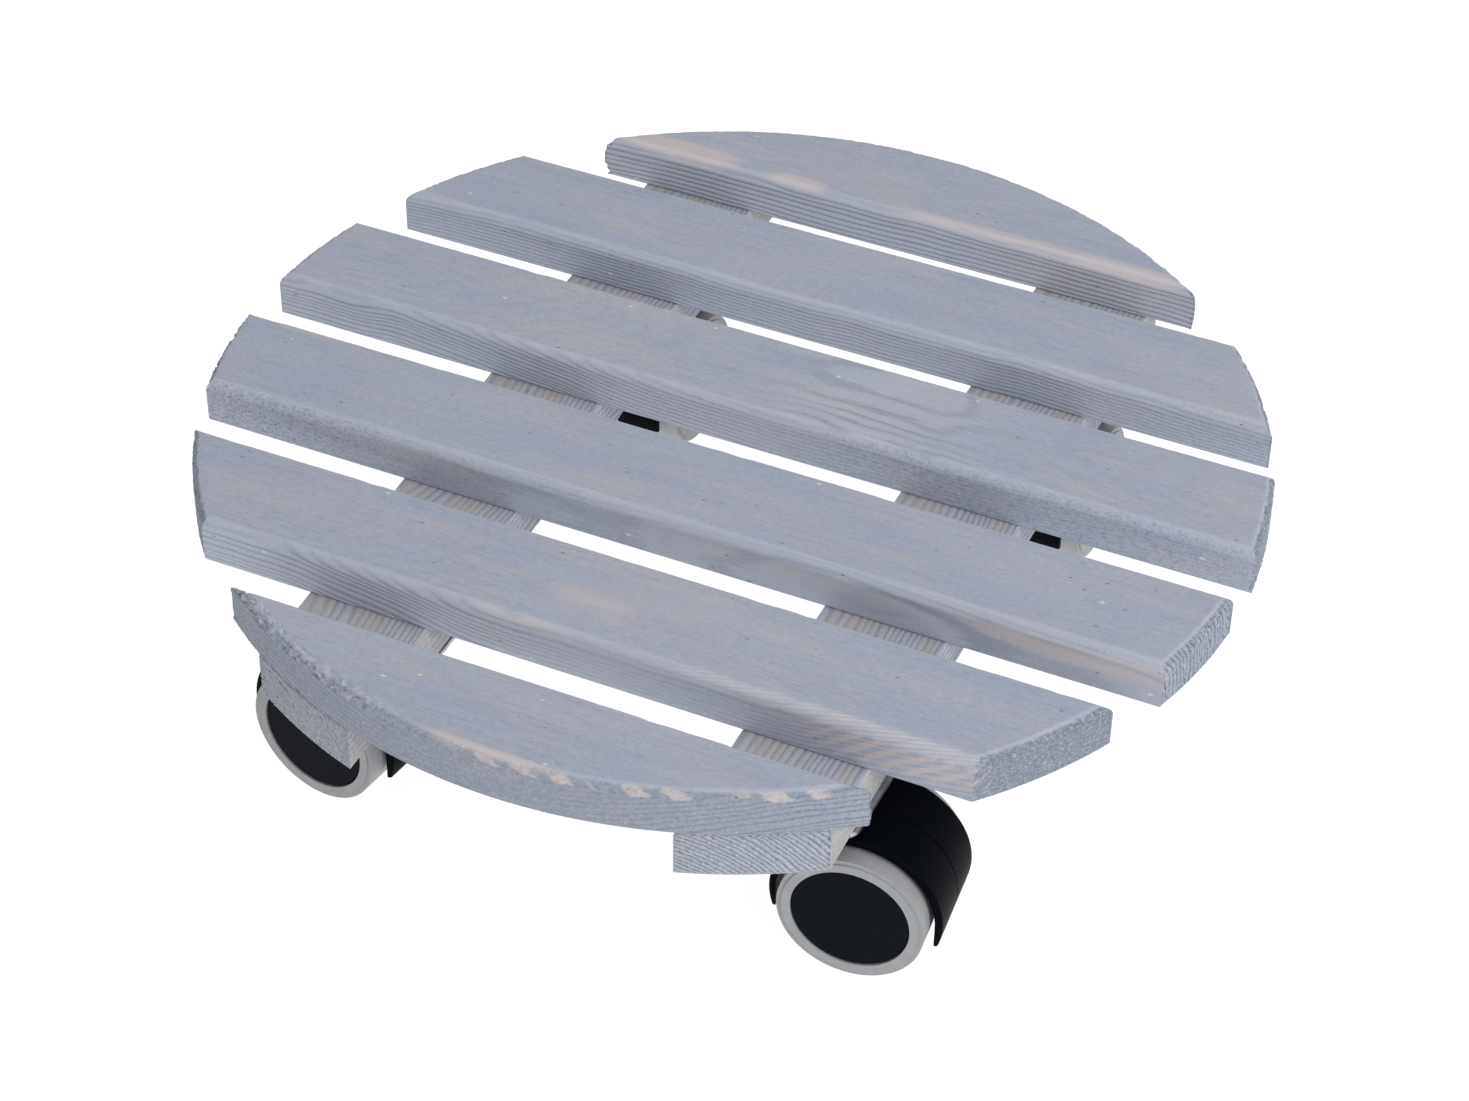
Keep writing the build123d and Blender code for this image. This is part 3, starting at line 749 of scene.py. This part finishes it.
def zinc_steel(name, colour, scale):
    """Bright zinc-plated steel: cloudy spangle, fine rolling lines and dull handled spots."""
    s = Shader(name)
    here = s.place_mm()
    cloud = s.noise(here, 0.22 * scale, 4.0, 0.6)
    lines = s.noise(s.scaled(here, (0.35, 7.0, 7.0)), 1.0, 3.0, 0.6)
    spots = s.cells(here, 0.8 * scale)
    tone = s.mix(s.step(cloud, 0.3, 0.7), srgb(*colour), srgb(*shifted(colour, -34)))
    tone = s.coat(tone, shifted(colour, -50), s.step(lines, 0.55, 0.8), 0.3)
    rough = s.plus(s.times(cloud, 0.28), 0.2)
    rough = s.plus(rough, s.times(s.step(spots, 0.3, 0.1), 0.12))
    height = s.plus(lines, s.times(cloud, 0.4))
    return s.finish(base_color=tone, metallic=1.0, roughness=rough,
                    normal=s.bump(height, STEEL_BUMP, 0.6))


# ---- Boards ----
slat_finish = glazed_wood("glazed_slats", (166, 171, 185), (203, 193, 192), (186, 176, 176))
batten_finish = glazed_wood("glazed_battens", (166, 169, 177), (190, 182, 172), (158, 151, 144))

for number, looks in SLAT_LOOKS.items():
    node = f"slat_{number}"
    lo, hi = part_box(node)
    if number in (1, 6):
        # The inner long side gives the board's place, since the circle cuts the outer one away.
        inner = min(abs(lo.y), abs(hi.y)) / MM
        half, centre, mirror = HALF_WIDTH, inner + HALF_WIDTH, lo.y < 0
        origin = (0, -centre if mirror else centre)
    else:
        half, centre, mirror = (hi.y - lo.y) / 2 / MM, (hi.y + lo.y) / 2 / MM, False
        origin = (0, centre)
    board = build_board(f"glazed_slat_{number}", node, looks, half, centre,
                        SLAT_ARRIS, SLAT_SAWN_EDGE, origin, 0.0, mirror)
    board.data.materials.append(slat_finish)


def screw_places(node):
    """The axis of each screw in a group, found from the points of its flat head."""
    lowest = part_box(node)[0].z
    flat = [v.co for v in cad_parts[node].data.vertices if v.co.z < lowest + 0.01 * MM]
    groups = []
    for p in flat:
        for g in groups:
            if math.hypot(p.x - g[0][0], p.y - g[0][1]) < SCREW_SPACING * MM:
                g.append((p.x, p.y))
                break
        else:
            groups.append([(p.x, p.y)])
    return [tuple((min(c) + max(c)) / 2 / MM for c in zip(*g)) for g in groups]


for side, looks in BATTEN_LOOKS.items():
    node = f"{side}_batten"
    angle = math.radians(90 + BATTEN_SKEWS[side])
    along = (math.cos(angle), math.sin(angle))
    out = (-along[1], along[0])
    centre = BATTEN_PLACES[side] * out[0]
    origin = (centre * out[0], centre * out[1])
    board = build_board(f"glazed_{side}_batten", node, looks, HALF_WIDTH, centre,
                        BATTEN_ARRIS, BATTEN_SAWN_EDGE, origin, angle, False,
                        screw_places(f"{side}_deck_screws"))
    board.data.materials.append(batten_finish)

# ---- Caster pieces and screws keep their CAD shape ----
FINISHES = {
    "hood": moulded_plastic("hood_plastic", (6, 9, 14), 0.46, 0.5, 0.03, 0.02),
    "hub_cap": moulded_plastic("cap_plastic", (13, 17, 23), 0.38, 0.7, 0.015, 0.03),
    "wheel_core": moulded_plastic("core_plastic", (58, 60, 62), 0.5, 0.6, 0.02),
    "tyre": soft_tyre("grey_tyre", (160, 162, 164)),
    "plate": zinc_steel("plate_steel", (196, 198, 200), 1.0),
    "plate_screws": zinc_steel("plate_screw_steel", (188, 190, 192), 2.5),
    "deck_screws": zinc_steel("deck_screw_steel", (186, 178, 150), 2.5),
    "stem": zinc_steel("stem_steel", (180, 182, 184), 2.0),
    "stem_ring": zinc_steel("ring_steel", (160, 162, 166), 3.0),
    "axle": zinc_steel("axle_steel", (176, 178, 180), 2.0),
}
for name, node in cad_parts.items():
    if node.hide_render:
        continue
    kind = max((k for k in FINISHES if k in name), key=len)
    node.data.materials.clear()
    node.data.materials.append(FINISHES[kind])

# ---- Floor, light and camera ----
floor_mesh = bpy.data.meshes.new("floor")
corners = [(x * FLOOR_HALF, y * FLOOR_HALF, 0) for x, y in ((-1, -1), (1, -1), (1, 1), (-1, 1))]
floor_mesh.from_pydata(corners, [], [(0, 1, 2, 3)])
floor = bpy.data.objects.new("floor", floor_mesh)
bpy.context.scene.collection.objects.link(floor)
paper = Shader("white_paper")
tooth = paper.noise(paper.scaled(paper.place(), (300, 300, 300)), 1.0, 4.0)
paper_colour = paper.mix(tooth, (0.21, 0.21, 0.21, 1), (0.19, 0.19, 0.19, 1))
paper.finish(base_color=paper_colour, roughness=0.9, specular_ior_level=0.1,
             emission_color=(1, 1, 1, 1), emission_strength=FLOOR_GLOW)
floor_mesh.materials.append(paper.material)


def stand(item, right, up, back, place):
    """Puts a lamp or a camera at a place, facing away from back."""
    rows = [[right[i], up[i], back[i], place[i]] for i in range(3)]
    item.matrix_world = Matrix(rows + [[0, 0, 0, 1]])


def softbox(name, place, size, power):
    """A large square light aimed at the middle of the deck."""
    lamp = bpy.data.lights.new(name, "AREA")
    lamp.size, lamp.energy = size, power
    box = bpy.data.objects.new(name, lamp)
    bpy.context.scene.collection.objects.link(box)
    x, y, z = place
    back = np.array([x, y, z - LAMP_AIM])
    back /= np.linalg.norm(back)
    right = np.cross([0, 0, 1.0], back)
    right /= np.linalg.norm(right)
    stand(box, right, np.cross(back, right), back, place)


for name, (place, size, power) in LAMPS.items():
    softbox(name, place, size, power)
world = bpy.data.worlds.new("studio")
world.use_nodes = True
background = world.node_tree.nodes["Background"]
background.inputs["Color"].default_value = (1.0, 1.0, 1.0, 1)
background.inputs["Strength"].default_value = WORLD_STRENGTH
bpy.context.scene.world = world
bpy.context.scene.view_settings.view_transform = "Standard"

camera_data = bpy.data.cameras.new("camera")
camera_data.lens, camera_data.sensor_width = CAMERA_LENS, CAMERA_SENSOR
camera_data.clip_start, camera_data.clip_end = CAMERA_NEAR, CAMERA_FAR
camera = bpy.data.objects.new("camera", camera_data)
bpy.context.scene.collection.objects.link(camera)
turn, tilt, roll = (math.radians(v) for v in (CAMERA_AZIMUTH, CAMERA_ELEVATION, CAMERA_ROLL))
back = np.array([math.sin(turn) * math.cos(tilt), -math.cos(turn) * math.cos(tilt), math.sin(tilt)])
level = np.array([math.cos(turn), math.sin(turn), 0.0])
upright = np.cross(back, level)
right = math.cos(roll) * level + math.sin(roll) * upright
stand(camera, right, np.cross(back, right), back, CAMERA_PLACE)
bpy.context.scene.camera = camera

bpy.context.view_layer.update()
